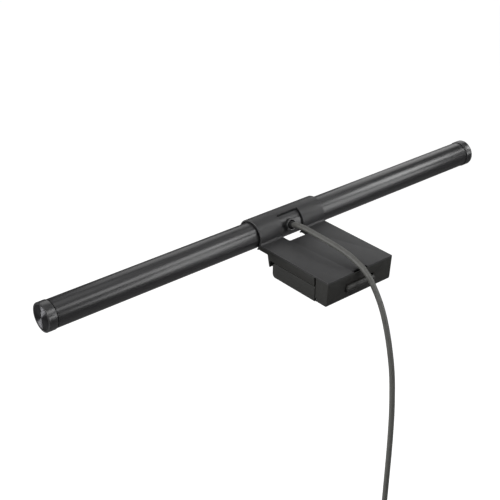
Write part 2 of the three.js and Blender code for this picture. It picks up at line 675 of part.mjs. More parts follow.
// A point of the winding after some turns: down the front of the coil, out along the outer layer,
// back along the inner layer, then a spiral to the side where the plug lies.
function windingPoint(turns) {
  const back = Math.min(Math.max(turns - LAYER_TURNS - TRANSITION_TURNS, 0), LAYER_TURNS);
  const out = Math.min(turns, LAYER_TURNS);
  const step = Math.min(Math.max((turns - LAYER_TURNS) / TRANSITION_TURNS, 0), 1);
  const tail = Math.max(turns - COILED_TURNS, 0) / (ALL_TURNS - COILED_TURNS);
  const wound = THREE.MathUtils.lerp(LAYER_RADII[0], LAYER_RADII[1], step);
  const radius = THREE.MathUtils.lerp(wound, TAIL_RADIUS, tail);
  const lane = COIL_X[1] + (back - out) * TURN_PITCH;
  const x = THREE.MathUtils.lerp(lane, TAIL_X, THREE.MathUtils.smoothstep(tail, 0, 0.85));
  const angle = 2 * Math.PI * turns;
  return [x, COIL_Y - radius * Math.cos(angle), COIL_Z - radius * Math.sin(angle)];
}

const TAIL_FROM = 7.62; // the turn after which the cord is clear of the coil's solid
const PLUG_TOP = COIL_Z - 6;

function makeCord() {
  piece("cord_lead", alongCurve(smooth(ROUTE), CORD_RADIUS, 40, 8), "cord");

  const middle = (COIL_X[0] + COIL_X[1]) / 2;
  const half = (COIL_X[1] - COIL_X[0]) / 2 + CORD_RADIUS;
  const inner = LAYER_RADII[1] - CORD_RADIUS;
  const outer = LAYER_RADII[0] + CORD_RADIUS;
  const ring = turned("x", [middle, COIL_Y, COIL_Z], [
    [inner, -half], [outer - 1, -half], [outer, -half + 1], [outer, half - 1], [outer - 1, half],
    [inner, half], [inner, -half],
  ], 40);
  piece("cord_coil", ring, "cord");

  const tieHalf = 4;
  const tieBox = (margin, reach) => box(
    [middle - half - margin, middle + half + margin],
    [COIL_Y - reach, COIL_Y + reach],
    [COIL_Z + inner - margin - 0.5, COIL_Z + outer + margin],
  );
  piece("cord_tie", cut(tieBox(1.3, tieHalf), tieBox(0.3, tieHalf + 1)), "rubber");

  const TAIL_STEPS = 8;
  const tail = [];
  for (let i = 0; i <= TAIL_STEPS; i += 1) {
    tail.push(windingPoint(THREE.MathUtils.lerp(TAIL_FROM, ALL_TURNS, i / TAIL_STEPS)));
  }
  tail.push([TAIL_X, COIL_Y - TAIL_RADIUS, PLUG_TOP + GAP]);
  piece("cord_tail", alongCurve(smooth(tail), CORD_RADIUS, 14, 8), "cord");
}

// The USB plug at the cord's far end, pointing down beside the coil.
function makePlug() {
  const plug = new THREE.Group();
  plug.position.set(TAIL_X, COIL_Y - TAIL_RADIUS, PLUG_TOP);
  lightBar.add(plug);
  const grip = cut(
    join(
      prism("z", roundedOutline([-3.75, 3.75], [-7, 7], [2, 2, 2, 2], 4), -24, -5),
      turned("z", CENTRE, [[0, -5.2], [3.6, -5.2], [3, 0], [0, 0]], 16),
    ),
    box([-2.5, 2.5], [-6.3, 6.3], [-30, -20]),
  );
  piece("usb_plug_grip", grip, "plastic", plug);
  const shell = cut(
    box([-2.25, 2.25], [-6, 6], [-36, -20.3]),
    box([-1.95, 1.95], [-5.7, 5.7], [-40, -21]),
  );
  piece("usb_plug_shell", shell, "steel", plug);
  piece("usb_plug_tongue", box([-1.6, 0.2], [-5.3, 5.3], [-35.4, -21.3]), "board", plug);
}

makeTube();
makeDiffuser();
makeLight();
makeElectronics();
makeSocket();
makeCaps();
makeSaddle();
makeLiners();
makeFrame();
makeRestPads();
makeBlock();
makeSprings();
makeFoot();
makeCord();
makePlug();

export default lightBar;
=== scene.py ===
"""Looks of a monitor light bar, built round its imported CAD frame.

Metres, +X along the bar, +Y behind the monitor, +Z up.
"""

import json
import math

import bmesh
import bpy
from mathutils import Matrix, Vector


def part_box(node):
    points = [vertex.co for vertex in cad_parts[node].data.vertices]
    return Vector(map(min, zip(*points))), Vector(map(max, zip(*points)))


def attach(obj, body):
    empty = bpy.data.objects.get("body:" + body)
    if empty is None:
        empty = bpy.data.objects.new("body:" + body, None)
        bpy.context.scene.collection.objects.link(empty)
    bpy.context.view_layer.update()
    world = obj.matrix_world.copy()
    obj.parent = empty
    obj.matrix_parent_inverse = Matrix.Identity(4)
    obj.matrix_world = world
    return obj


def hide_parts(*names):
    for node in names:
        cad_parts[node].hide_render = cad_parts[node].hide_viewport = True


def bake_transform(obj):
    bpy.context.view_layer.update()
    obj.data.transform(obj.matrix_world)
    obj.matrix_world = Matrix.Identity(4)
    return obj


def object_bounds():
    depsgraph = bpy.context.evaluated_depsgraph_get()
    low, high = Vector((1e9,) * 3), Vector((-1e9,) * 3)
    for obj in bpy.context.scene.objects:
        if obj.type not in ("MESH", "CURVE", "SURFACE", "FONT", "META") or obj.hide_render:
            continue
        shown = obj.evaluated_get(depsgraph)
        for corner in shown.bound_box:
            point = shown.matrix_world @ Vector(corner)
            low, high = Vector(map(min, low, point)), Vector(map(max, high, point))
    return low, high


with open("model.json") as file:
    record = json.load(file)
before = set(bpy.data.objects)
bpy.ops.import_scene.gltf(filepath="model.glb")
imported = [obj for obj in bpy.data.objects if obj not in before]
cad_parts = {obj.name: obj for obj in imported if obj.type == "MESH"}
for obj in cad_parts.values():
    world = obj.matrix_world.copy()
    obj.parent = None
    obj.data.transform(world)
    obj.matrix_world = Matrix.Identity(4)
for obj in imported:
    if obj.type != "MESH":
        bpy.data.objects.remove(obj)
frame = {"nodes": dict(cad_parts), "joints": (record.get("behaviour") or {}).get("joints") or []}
CAD_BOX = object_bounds()
MM = 0.001

# ---- Places, from the frame ---------------------------------------------------------------------

TUBE_LOW, TUBE_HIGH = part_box("bar_tube")
CAP_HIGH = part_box("end_cap_right")[1]
SADDLE_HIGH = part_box("saddle")[1]
BLOCK_LOW, BLOCK_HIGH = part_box("rear_block")
FOOT_LOW, FOOT_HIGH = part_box("foot_shell")
FRAME_LOW, FRAME_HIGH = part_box("clip_frame")
PIN_LOW, PIN_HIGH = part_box("hinge_pin")

JOINTS = {joint["name"]: joint for joint in frame["joints"]}
AXIS = Vector(JOINTS["bar_tilt"]["pos_m"])
HINGE = Vector(JOINTS["foot_fold"]["pos_m"])
HALF_WIDTH = SADDLE_HIGH.x
PLATE_REAR = SADDLE_HIGH.y
TUBE_RADIUS = 10.9 * MM
SLEEVE_OUTER = SADDLE_HIGH.z - AXIS.z
SIDES = (("left", -1), ("right", 1))


# ---- Camera, floor and light --------------------------------------------------------------------

CAMERA_AZIMUTH = math.radians(139.30)
CAMERA_ELEVATION = math.radians(28.97)
CAMERA_ROLL = math.radians(0.66)
CAMERA_PLACE = Vector((529.42, 550.22, 419.52)) * MM
CAMERA_LENS = 78.01
SENSOR_WIDTH = 36
FLOOR_DROP = 0.75
FLOOR_REACH = 12
AMBIENT = 0.02
LIGHT_TARGET = Vector((0, 0.02, 0))
LIGHT_DISTANCE = 1.5
# Name, direction from the part in degrees (azimuth from +X towards +Y, elevation), width, height, watts.
# The directions and powers come from a program's fit of the part's tones, merged and rounded.
SOFTBOXES = (
    ("rear_strip", 121, 8, 1.85, 0.32, 7.2),
    ("rear_far", 162, 27, 0.5, 0.45, 4.6),
    ("rear_high", 130, 50, 0.4, 0.45, 3.2),
    ("rear_top", 98, 47, 0.7, 0.45, 3.6),
    ("rear_near", 116, 20, 0.25, 0.25, 1.2),
    ("side_high", 5, 30, 0.6, 0.6, 11.5),
    ("side", 330, 6, 0.6, 0.6, 15),
    ("far_front", 215, 20, 0.6, 1.1, 2.3),
    ("front", 245, 40, 0.6, 1.1, 2.8),
    ("far_top", 185, 55, 0.6, 0.6, 0.9),
    ("top", 0, 85, 0.8, 0.8, 1.8),
)


def make_camera():
    back = Vector((
        math.sin(CAMERA_AZIMUTH) * math.cos(CAMERA_ELEVATION),
        -math.cos(CAMERA_AZIMUTH) * math.cos(CAMERA_ELEVATION),
        math.sin(CAMERA_ELEVATION),
    ))
    level = (-back).cross(Vector((0, 0, 1))).normalized()
    upright = level.cross(-back)
    right = level * math.cos(CAMERA_ROLL) + upright * math.sin(CAMERA_ROLL)
    up = upright * math.cos(CAMERA_ROLL) - level * math.sin(CAMERA_ROLL)
    turn = Matrix((right, up, back)).transposed().to_4x4()
    data = bpy.data.cameras.new("camera")
    data.sensor_width = SENSOR_WIDTH
    data.lens = CAMERA_LENS
    camera = bpy.data.objects.new("camera", data)
    bpy.context.scene.collection.objects.link(camera)
    camera.matrix_world = Matrix.Translation(CAMERA_PLACE) @ turn
    bpy.context.scene.camera = camera


def area_light(name, at, towards, size, power):
    data = bpy.data.lights.new(name, "AREA")
    data.shape = "RECTANGLE"
    data.size, data.size_y = size
    data.energy = power
    light = bpy.data.objects.new(name, data)
    bpy.context.scene.collection.objects.link(light)
    light.location = at
    light.rotation_euler = (towards - at).to_track_quat("-Z", "Y").to_euler()


def make_stage():
    """The floor, the world and the softboxes. Only the camera sees floor and world as white."""
    floor_z = CAD_BOX[0].z - FLOOR_DROP
    bm = bmesh.new()
    bmesh.ops.create_grid(bm, x_segments=8, y_segments=8, size=FLOOR_REACH)
    bmesh.ops.translate(bm, vec=(0, 0, floor_z), verts=bm.verts)
    floor = mesh_object("floor", bm)
    floor.data.materials.append(floor_material())

    world = bpy.data.worlds.new("studio")
    world.use_nodes = True
    nodes, links = world.node_tree.nodes, world.node_tree.links
    ambient = nodes["Background"]
    ambient.inputs["Color"].default_value = (1, 1, 1, 1)
    ambient.inputs["Strength"].default_value = AMBIENT
    backdrop = nodes.new("ShaderNodeBackground")
    backdrop.inputs["Color"].default_value = (1, 1, 1, 1)
    seen = nodes.new("ShaderNodeMixShader")
    links.new(nodes.new("ShaderNodeLightPath").outputs["Is Camera Ray"], seen.inputs["Fac"])
    links.new(ambient.outputs["Background"], seen.inputs[1])
    links.new(backdrop.outputs["Background"], seen.inputs[2])
    links.new(seen.outputs["Shader"], nodes["World Output"].inputs["Surface"])
    bpy.context.scene.world = world
    bpy.context.scene.view_settings.view_transform = "Standard"

    for name, azimuth, elevation, width, height, power in SOFTBOXES:
        level = LIGHT_DISTANCE * math.cos(math.radians(elevation))
        at = Vector((
            level * math.cos(math.radians(azimuth)),
            level * math.sin(math.radians(azimuth)),
            LIGHT_DISTANCE * math.sin(math.radians(elevation)),
        ))
        area_light(name, at + LIGHT_TARGET, LIGHT_TARGET, (width, height), power)


# ---- Material nodes -----------------------------------------------------------------------------

class Paint:
    """A Principled material and the few node chains that the finishes below share."""

    def __init__(self, name, colour, roughness, metallic=0.0, ior=1.5):
        self.material = bpy.data.materials.new(name)
        self.material.use_nodes = True
        self.nodes = self.material.node_tree.nodes
        self.links = self.material.node_tree.links
        self.shader = self.nodes["Principled BSDF"]
        self.colour = colour
        self.shader.inputs["Base Color"].default_value = (*colour, 1)
        self.shader.inputs["Roughness"].default_value = roughness
        self.shader.inputs["Metallic"].default_value = metallic
        self.shader.inputs["IOR"].default_value = ior
        self.place = self.nodes.new("ShaderNodeTexCoord").outputs["Object"]
        self.normal = None

    def node(self, kind, **inputs):
        node = self.nodes.new(kind)
        for name, value in inputs.items():
            socket = node.inputs[name.replace("_", " ")]
            if isinstance(value, bpy.types.NodeSocket):
                self.links.new(value, socket)
            else:
                socket.default_value = value
        return node

    def scaled(self, scale):
        node = self.nodes.new("ShaderNodeVectorMath")
        node.operation = "MULTIPLY"
        self.links.new(self.place, node.inputs[0])
        node.inputs[1].default_value = scale
        return node.outputs["Vector"]

    def noise(self, scale, detail=4.0, roughness=0.6):
        """Noise with a grain of 1/scale metres along each axis."""
        return self.node(
            "ShaderNodeTexNoise", Vector=self.scaled(scale), Scale=1.0, Detail=detail, Roughness=roughness,
        ).outputs["Fac"]

    def spread(self, value, low, high, start=0.3, end=0.7):
        node = self.node("ShaderNodeMapRange", Value=value)
        node.inputs["From Min"].default_value = start
        node.inputs["From Max"].default_value = end
        node.inputs["To Min"].default_value = low
        node.inputs["To Max"].default_value = high
        return node.outputs["Result"]

    def vary_colour(self, value, low, high):
        """Base colour times a share that follows a texture."""
        mix = self.nodes.new("ShaderNodeMix")
        mix.data_type = "RGBA"
        self.links.new(self.spread(value, 0, 1), mix.inputs["Factor"])
        mix.inputs[6].default_value = (*(low * c for c in self.colour), 1)
        mix.inputs[7].default_value = (*(high * c for c in self.colour), 1)
        self.links.new(mix.outputs[2], self.shader.inputs["Base Color"])
        return mix

    def vary_roughness(self, value, low, high):
        self.links.new(self.spread(value, low, high), self.shader.inputs["Roughness"])

    def bump(self, value, height):
        """Relief of that height in metres."""
        node = self.node("ShaderNodeBump", Height=value, Strength=1.0, Distance=height)
        if self.normal is not None:
            self.links.new(self.normal, node.inputs["Normal"])
        self.normal = node.outputs["Normal"]
        self.links.new(self.normal, self.shader.inputs["Normal"])

    def painted_edge_highlight(self, mix, highlight_lift):
        """Edges a little lighter: a painted highlight where light catches the rounded edges."""
        # Painted highlight: base colour raised where the bevelled normal leaves the face's own normal.
        bevel = self.nodes.new("ShaderNodeBevel")
        bevel.inputs["Radius"].default_value = 0.6 * MM
        bevel.samples = 4
        plain = self.nodes.new("ShaderNodeNewGeometry").outputs["Normal"]
        dot = self.nodes.new("ShaderNodeVectorMath")
        dot.operation = "DOT_PRODUCT"
        self.links.new(bevel.outputs["Normal"], dot.inputs[0])
        self.links.new(plain, dot.inputs[1])
        edge_highlight_mix = self.nodes.new("ShaderNodeMix")
        edge_highlight_mix.data_type = "RGBA"
        self.links.new(self.spread(dot.outputs["Value"], 1, 0, 0.9, 0.995), edge_highlight_mix.inputs["Factor"])
        self.links.new(mix.outputs[2], edge_highlight_mix.inputs[6])
        edge_highlight_mix.inputs[7].default_value = (*(highlight_lift * c for c in self.colour), 1)
        self.links.new(edge_highlight_mix.outputs[2], self.shader.inputs["Base Color"])


def floor_material():
    """Mid grey to the light round the part, with a glow that makes it white to the camera alone."""
    paint = Paint("floor", (0.3, 0.3, 0.3), 0.85)
    paint.vary_colour(paint.noise((3, 3, 3)), 0.98, 1.0)
    glow = paint.nodes.new("ShaderNodeEmission")
    glow.inputs["Strength"].default_value = 1.0
    both_ways = paint.nodes.new("ShaderNodeAddShader")
    seen = paint.nodes.new("ShaderNodeMixShader")
    output = paint.nodes["Material Output"]
    paint.links.new(paint.shader.outputs["BSDF"], both_ways.inputs[0])
    paint.links.new(glow.outputs["Emission"], both_ways.inputs[1])
    paint.links.new(paint.nodes.new("ShaderNodeLightPath").outputs["Is Camera Ray"], seen.inputs["Fac"])
    paint.links.new(paint.shader.outputs["BSDF"], seen.inputs[1])
    paint.links.new(both_ways.outputs["Shader"], seen.inputs[2])
    paint.links.new(seen.outputs["Shader"], output.inputs["Surface"])
    return paint.material


def anodised_tube():
    """Black anodised extrusion: fine drawn lines along X and a fine bead-blasted grain."""
    paint = Paint("anodised_tube", (0.026, 0.026, 0.027), 0.30, 0.0, 1.65)
    lines = paint.noise((25, 2600, 2600), 3)
    mix = paint.vary_colour(paint.noise((60, 900, 900), 2), 0.88, 1.12)
    paint.vary_roughness(lines, 0.26, 0.36)
    paint.bump(lines, 0.000003)
    paint.bump(paint.noise((2600, 2600, 2600), 1), 0.000002)
    # Painted highlight along the tube's edges, up to twice its colour.
    paint.painted_edge_highlight(mix, 2.0)
    return paint.material


def blasted_saddle():
    paint = Paint("blasted_saddle", (0.032, 0.032, 0.033), 0.47, 0.0, 1.48)
    grain = paint.noise((4200, 4200, 4200), 2)
    mix = paint.vary_colour(paint.noise((120, 120, 120), 3), 0.93, 1.07)
    paint.vary_roughness(grain, 0.42, 0.52)
    paint.bump(grain, 0.00001)
    # Painted highlight along the saddle's edges, up to 2.4 times its colour.
    paint.painted_edge_highlight(mix, 2.4)
    return paint.material


def moulded_plastic():
    roughness = 0.52
    paint = Paint("moulded_plastic", (0.026, 0.026, 0.024), roughness, 0.0, 1.46)
    grain = paint.noise((2300, 2300, 2300), 3, 0.7)
    mix = paint.vary_colour(paint.noise((180, 180, 180), 3), 0.92, 1.08)
    paint.vary_roughness(grain, roughness - 0.06, roughness + 0.07)
    paint.bump(grain, 0.000022)
    # Painted highlight along the plastic's edges, up to 1.7 times its colour.
    paint.painted_edge_highlight(mix, 1.7)
    return paint.material


def gloss_plastic():
    paint = Paint("gloss_plastic", (0.006, 0.006, 0.007), 0.12)
    smear = paint.noise((140, 60, 60), 4)
    paint.vary_colour(smear, 0.8, 1.2)
    paint.vary_roughness(smear, 0.08, 0.2)
    paint.bump(paint.noise((350, 350, 350), 1), 0.000004)
    return paint.material


def turned_metal():
    """Faced on a lathe: rings round the bar's axis."""
    paint = Paint("turned_metal", (0.09, 0.09, 0.095), 0.3, 0.9)
    radius = paint.nodes.new("ShaderNodeVectorMath")
    radius.operation = "LENGTH"
    centred = paint.nodes.new("ShaderNodeVectorMath")
    centred.operation = "MULTIPLY_ADD"
    paint.links.new(paint.place, centred.inputs[0])
    centred.inputs[1].default_value = (0, 1, 1)
    centred.inputs[2].default_value = (0, -AXIS.y, -AXIS.z)
    paint.links.new(centred.outputs["Vector"], radius.inputs[0])
    rings = paint.node("ShaderNodeTexNoise", Scale=2600.0, Detail=2.0)
    rings.noise_dimensions = "1D"
    paint.links.new(radius.outputs["Value"], rings.inputs["W"])
    paint.vary_colour(rings.outputs["Fac"], 0.8, 1.25)
    paint.vary_roughness(rings.outputs["Fac"], 0.3, 0.4)
    paint.bump(rings.outputs["Fac"], 0.000001)
    round_the_axis = paint.nodes.new("ShaderNodeTangent")
    round_the_axis.direction_type = "RADIAL"
    round_the_axis.axis = "X"
    paint.links.new(round_the_axis.outputs["Tangent"], paint.shader.inputs["Tangent"])
    paint.shader.inputs["Anisotropic"].default_value = 1.0
    paint.shader.inputs["Anisotropic Rotation"].default_value = 0.25
    return paint.material


def milky_diffuser():
    paint = Paint("milky_diffuser", (0.86, 0.85, 0.81), 0.45, 0.0, 1.49)
    paint.vary_colour(paint.noise((40, 300, 300), 3), 0.965, 1.0)
    frost = paint.noise((3000, 3000, 3000), 2)
    paint.vary_roughness(frost, 0.4, 0.52)
    paint.bump(frost, 0.000008)
    return paint.material


def plain_steel():
    paint = Paint("plain_steel", (0.50, 0.51, 0.52), 0.3, 1.0)
    lines = paint.noise((700, 4200, 4200), 3)
    paint.vary_colour(lines, 0.85, 1.08)
    paint.vary_roughness(lines, 0.24, 0.4)
    paint.bump(lines, 0.000005)
    return paint.material


def mill_aluminium():
    paint = Paint("mill_aluminium", (0.62, 0.63, 0.65), 0.34, 1.0)
    lines = paint.noise((30, 2600, 2600), 3)
    paint.vary_colour(lines, 0.88, 1.06)
    paint.vary_roughness(lines, 0.28, 0.42)
    paint.bump(lines, 0.000006)
    return paint.material


def solder_mask(name, colour):
    paint = Paint(name, colour, 0.35)
    paint.vary_colour(paint.noise((500, 500, 500), 2), 0.85, 1.1)
    paint.vary_roughness(paint.noise((900, 900, 900), 2), 0.28, 0.45)
    paint.bump(paint.noise((1600, 1600, 1600), 2), 0.00001)
    return paint.material


def soft_rubber():
    roughness = 0.75
    paint = Paint("soft_rubber", (0.014, 0.014, 0.014), roughness, 0.0, 1.45)
    grain = paint.noise((2600, 2600, 2600), 3)
    paint.vary_colour(paint.noise((260, 260, 260), 3), 0.85, 1.2)
    paint.vary_roughness(grain, roughness - 0.08, roughness + 0.08)
    paint.bump(grain, 0.00002)
    return paint.material


def cord_jacket():
    paint = Paint("cord_jacket", (0.105, 0.105, 0.098), 0.5, 0.0, 1.45)
    grain = paint.noise((3400, 3400, 3400), 3)
    paint.vary_colour(paint.noise((300, 300, 300), 3), 0.9, 1.1)
    paint.vary_roughness(grain, 0.44, 0.58)
    paint.bump(grain, 0.000012)
    return paint.material


# ---- Mesh helpers -------------------------------------------------------------------------------

def mesh_object(name, bm):
    bmesh.ops.recalc_face_normals(bm, faces=bm.faces)
    mesh = bpy.data.meshes.new(name)
    bm.to_mesh(mesh)
    bm.free()
    made = bpy.data.objects.new(name, mesh)
    bpy.context.scene.collection.objects.link(made)
    return made


def arc(centre, radius, start, end, steps):
    """Points on an arc, with the angles in degrees."""
    angles = (math.radians(start + (end - start) * i / steps) for i in range(steps + 1))
    return [(centre[0] + radius * math.cos(a), centre[1] + radius * math.sin(a)) for a in angles]


def rounded_outline(u, v, radii, steps=8):
    """A rectangle with its own radius at each corner: low-low, high-low, high-high, low-high."""
    a, b, c, d = radii
    return [
        *arc((u[0] + a, v[0] + a), a, 180, 270, steps),
        *arc((u[1] - b, v[0] + b), b, 270, 360, steps),
        *arc((u[1] - c, v[1] - c), c, 0, 90, steps),
        *arc((u[0] + d, v[1] - d), d, 90, 180, steps),
    ]


def to_space(axis, u, v, w):
    """A point of an outline drawn across an axis, at a distance along it."""
    return {"x": (w, u, v), "y": (u, w, v), "z": (u, v, w)}[axis]


def prism(name, axis, outline, start, end):
    """An outline extruded along an axis: its coordinates are y, z along x; x, z along y; x, y along z."""
    bm = bmesh.new()
    rings = [[bm.verts.new(to_space(axis, u, v, w)) for u, v in outline] for w in (start, end)]
    count = len(outline)
    for i in range(count):
        j = (i + 1) % count
        bm.faces.new((rings[0][i], rings[0][j], rings[1][j], rings[1][i]))
    for ring in rings:
        bm.faces.new(ring)
    return mesh_object(name, bm)


def block(name, x, y, z):
    return prism(name, "z", [(x[0], y[0]), (x[1], y[0]), (x[1], y[1]), (x[0], y[1])], *z)


def turned(name, axis, centre, profile, segments=96):
    """A body turned about an axis through a point. The profile is (radius, distance along the axis)."""
    bm = bmesh.new()
    rings = []
    for radius, along in profile:
        if radius < 1e-7:
            rings.append([bm.verts.new(Vector(centre) + Vector(to_space(axis, 0, 0, along)))])
            continue
        rings.append([
            bm.verts.new(Vector(centre) + Vector(to_space(axis, u, v, along)))
            for u, v in arc((0, 0), radius, 0, 360 - 360 / segments, segments - 1)
        ])
    closed = len(rings[0]) > 1 and len(rings[-1]) > 1
    pairs = list(zip(rings, rings[1:])) + ([(rings[-1], rings[0])] if closed else [])
    for low, high in pairs:
        for i in range(segments):
            j = (i + 1) % segments
            corners = [low[i % len(low)], low[j % len(low)], high[j % len(high)], high[i % len(high)]]
            bm.faces.new(list(dict.fromkeys(corners)))
    return mesh_object(name, bm)


def rod(name, axis, centre, radius, start, end, segments=64):
    return turned(name, axis, centre, [(0, start), (radius, start), (radius, end), (0, end)], segments)


def evaluated(made):
    """The object's mesh with its modifiers applied."""
    graph = bpy.context.evaluated_depsgraph_get()
    mesh = bpy.data.meshes.new_from_object(made.evaluated_get(graph))
    made.modifiers.clear()
    old = made.data
    made.data = mesh
    bpy.data.meshes.remove(old)
    return made


def combine(target, tools, how):
    """Joins the tools to the target, cuts them from it, or keeps only what they share."""
    for tool in tools:
        modifier = target.modifiers.new("combine", "BOOLEAN")
        modifier.operation = how
        modifier.solver = "EXACT"
        modifier.object = tool
        evaluated(target)
        bpy.data.objects.remove(tool)
    return target


def join(target, *tools):
    return combine(target, tools, "UNION")


def cut(target, *tools):
    return combine(target, tools, "DIFFERENCE")


def keep(target, *tools):
    return combine(target, tools, "INTERSECT")


def dissolve_flats(made, angle=0.3):
    """Merges flat neighbours into one face, so that only real edges are rounded."""
    bm = bmesh.new()
    bm.from_mesh(made.data)
    bmesh.ops.remove_doubles(bm, verts=bm.verts, dist=1e-6)
    bmesh.ops.dissolve_limit(
        bm, angle_limit=math.radians(angle), verts=bm.verts, edges=bm.edges, delimit={"NORMAL"},
    )
    bm.to_mesh(made.data)
    bm.free()
    return made


def round_edges(made, width, segments=3, angle=35):
    dissolve_flats(made)
    modifier = made.modifiers.new("round", "BEVEL")
    modifier.width = width
    modifier.segments = segments
    modifier.limit_method = "ANGLE"
    modifier.angle_limit = math.radians(angle)
    modifier.miter_outer = "MITER_ARC"
    modifier.use_clamp_overlap = True
    return evaluated(made)


def finish_piece(made, body, material, nodes, smooth=32):
    """Shades a piece, gives it its finish and lets it ride on its body."""
    for face in made.data.polygons:
        face.use_smooth = True
    made.data.set_sharp_from_angle(angle=math.radians(smooth))
    made.data.materials.clear()
    made.data.materials.append(material)
    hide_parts(*nodes)
    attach(made, body)
    return made


# ---- Cord ---------------------------------------------------------------------------------------

CORD_RADIUS = 2.25 * MM
COIL_Y = 135.5 * MM
COIL_Z = -222 * MM
LAYER_RADII = (26.3 * MM, 21.8 * MM)
LAYER_TURNS = 3.2
TURN_PITCH = 4.6 * MM
TRANSITION_TURNS = 0.5
COILED_TURNS = 2 * LAYER_TURNS + TRANSITION_TURNS
ALL_TURNS = 8
TAIL_X = 8.2 * MM
TAIL_RADIUS = 13 * MM
COIL_X = (1.5 * MM - LAYER_TURNS * TURN_PITCH, 1.5 * MM)
PLUG_TOP = COIL_Z - 6 * MM
SOCKET_ANGLE = 18
SOCKET_X = 1.5 * MM
BUSH_END = 15.4 * MM

# The free stretch, from the bush to where the cord meets the coil, in millimetres.
# A back-projection program placed the sixth to the twenty-first point. Their heights were then moved.
ROUTE = [
    (1.5, -10.24, 17.26),
    (1.5, -5.9, 18.5),
    (1.3, 3.1, 19.1),
    (1.0, 14, 18.6),
    (0.5, 24.8, 18.0),
    (0, 35.5, 17.1),
    (0, 46.5, 16.0),
    (0, 54.2, 14.6),
    (0, 60.8, 12.4),
    (0, 66.8, 10.2),
    (0, 71.9, 6.6),
    (0, 75.8, 3.0),
    (0, 80, -2.0),
    (0, 83.5, -6.8),
    (0, 87.2, -12.8),
    (0, 91.1, -20.8),
    (0, 94.5, -29.8),
    (0, 97.5, -39.2),
    (0, 100.3, -49.7),
    (0, 102.7, -60.4),
    (0, 104.4, -70.7),
    (0.2, 106, -84),
    (0.5, 107.6, -102),
    (0.9, 108.6, -122),
    (1.2, 109.1, -144),
    (1.4, 109.2, -168),
    (1.5, 109.2, -205.4),
]


def lerp(a, b, share):
    return a + (b - a) * share


def clamp(value, low=0.0, high=1.0):
    return max(low, min(high, value))


def winding_point(turns):
    """A point of the winding: out along the outer layer, back along the inner one, then aside."""
    out = min(turns, LAYER_TURNS)
    back = clamp(turns - LAYER_TURNS - TRANSITION_TURNS, 0, LAYER_TURNS)
    step = clamp((turns - LAYER_TURNS) / TRANSITION_TURNS)
    tail = max(turns - COILED_TURNS, 0) / (ALL_TURNS - COILED_TURNS)
    radius = lerp(lerp(*LAYER_RADII, step), TAIL_RADIUS, tail)
    lane = COIL_X[1] + (back - out) * TURN_PITCH
    eased = clamp(tail / 0.85)
    x = lerp(lane, TAIL_X, eased * eased * (3 - 2 * eased))
    angle = 2 * math.pi * turns
    return Vector((x, COIL_Y - radius * math.cos(angle), COIL_Z - radius * math.sin(angle)))


def smooth_path(points, spacing):
    """Points along the centripetal Catmull-Rom curve through the given ones."""
    points = [Vector(p) for p in points]
    points = [2 * points[0] - points[1], *points, 2 * points[-1] - points[-2]]
    path = []
    for p0, p1, p2, p3 in zip(points, points[1:], points[2:], points[3:]):
        steps = max(1, round((p2 - p1).length / spacing))
        t1 = (p1 - p0).length ** 0.5
        t2 = t1 + (p2 - p1).length ** 0.5
        t3 = t2 + (p3 - p2).length ** 0.5
        for i in range(steps):
            t = lerp(t1, t2, i / steps)
            a1 = p0.lerp(p1, t / t1)
            a2 = p1.lerp(p2, (t - t1) / (t2 - t1))
            a3 = p2.lerp(p3, (t - t2) / (t3 - t2))
            b1 = a1.lerp(a2, t / t2)
            b2 = a2.lerp(a3, (t - t1) / (t3 - t1))
            path.append(b1.lerp(b2, (t - t1) / (t2 - t1)))
    return [*path, points[-2]]


def tube_along(name, path, radius, sides=16):
    """A closed round tube along a path, its section turned as little as possible on the way."""
    bm = bmesh.new()
    rings = []
    across = None
    for i, point in enumerate(path):
        ahead = (path[min(i + 1, len(path) - 1)] - path[max(i - 1, 0)]).normalized()
        across = ahead.orthogonal() if across is None else across - ahead * across.dot(ahead)
        across.normalize()
        beside = ahead.cross(across)
        rings.append([
            bm.verts.new(point + across * u + beside * v)
            for u, v in arc((0, 0), radius, 0, 360 - 360 / sides, sides - 1)
        ])
    for low, high in zip(rings, rings[1:]):
        for i in range(sides):
            j = (i + 1) % sides
            bm.faces.new((low[i], low[j], high[j], high[i]))
    for ring in (rings[0], rings[-1]):
        bm.faces.new(ring)
    return mesh_object(name, bm)


def socket_point(distance):
    """A point on the socket's axis, at a distance from the tube's axis."""
    angle = math.radians(SOCKET_ANGLE)
    return Vector((SOCKET_X, AXIS.y + distance * math.cos(angle), AXIS.z + distance * math.sin(angle)))


def make_cord():
    turns = [winding_point(i / 16) for i in range(ALL_TURNS * 16 + 1)]
    route = [Vector(p) * MM for p in ROUTE]
    plug_end = Vector((TAIL_X, COIL_Y - TAIL_RADIUS, PLUG_TOP - 2 * MM))
    inside_bush = socket_point(BUSH_END - 1.5 * MM)
    path = smooth_path([inside_bush, *route, *turns, plug_end], 2 * MM)
    cord = tube_along("cord", path, CORD_RADIUS)
    for face in cord.data.polygons:
        face.use_smooth = True
    cord.data.set_sharp_from_angle(angle=math.radians(50))
    cord.data.materials.append(cord_jacket())
    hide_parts("cord_lead", "cord_coil", "cord_tail")
    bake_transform(cord)


def make_tie(material):
    """A soft strap round the coil: a closed loop with rounded corners and edges."""
    low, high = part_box("cord_tie")
    wall = 1.0 * MM
    outer = rounded_outline((low.x, high.x), (low.z, high.z), [2.2 * MM] * 4)
    inner = rounded_outline(
        (low.x + wall, high.x - wall), (low.z + wall, high.z - wall), [1.4 * MM] * 4,
    )
    strap = cut(
        prism("cord_strap", "y", outer, low.y, high.y),
        prism("tool", "y", inner, low.y - wall, high.y + wall),
    )
    round_edges(strap, 0.3 * MM, 3)
    return finish_piece(strap, "bracket", material, ["cord_tie"])


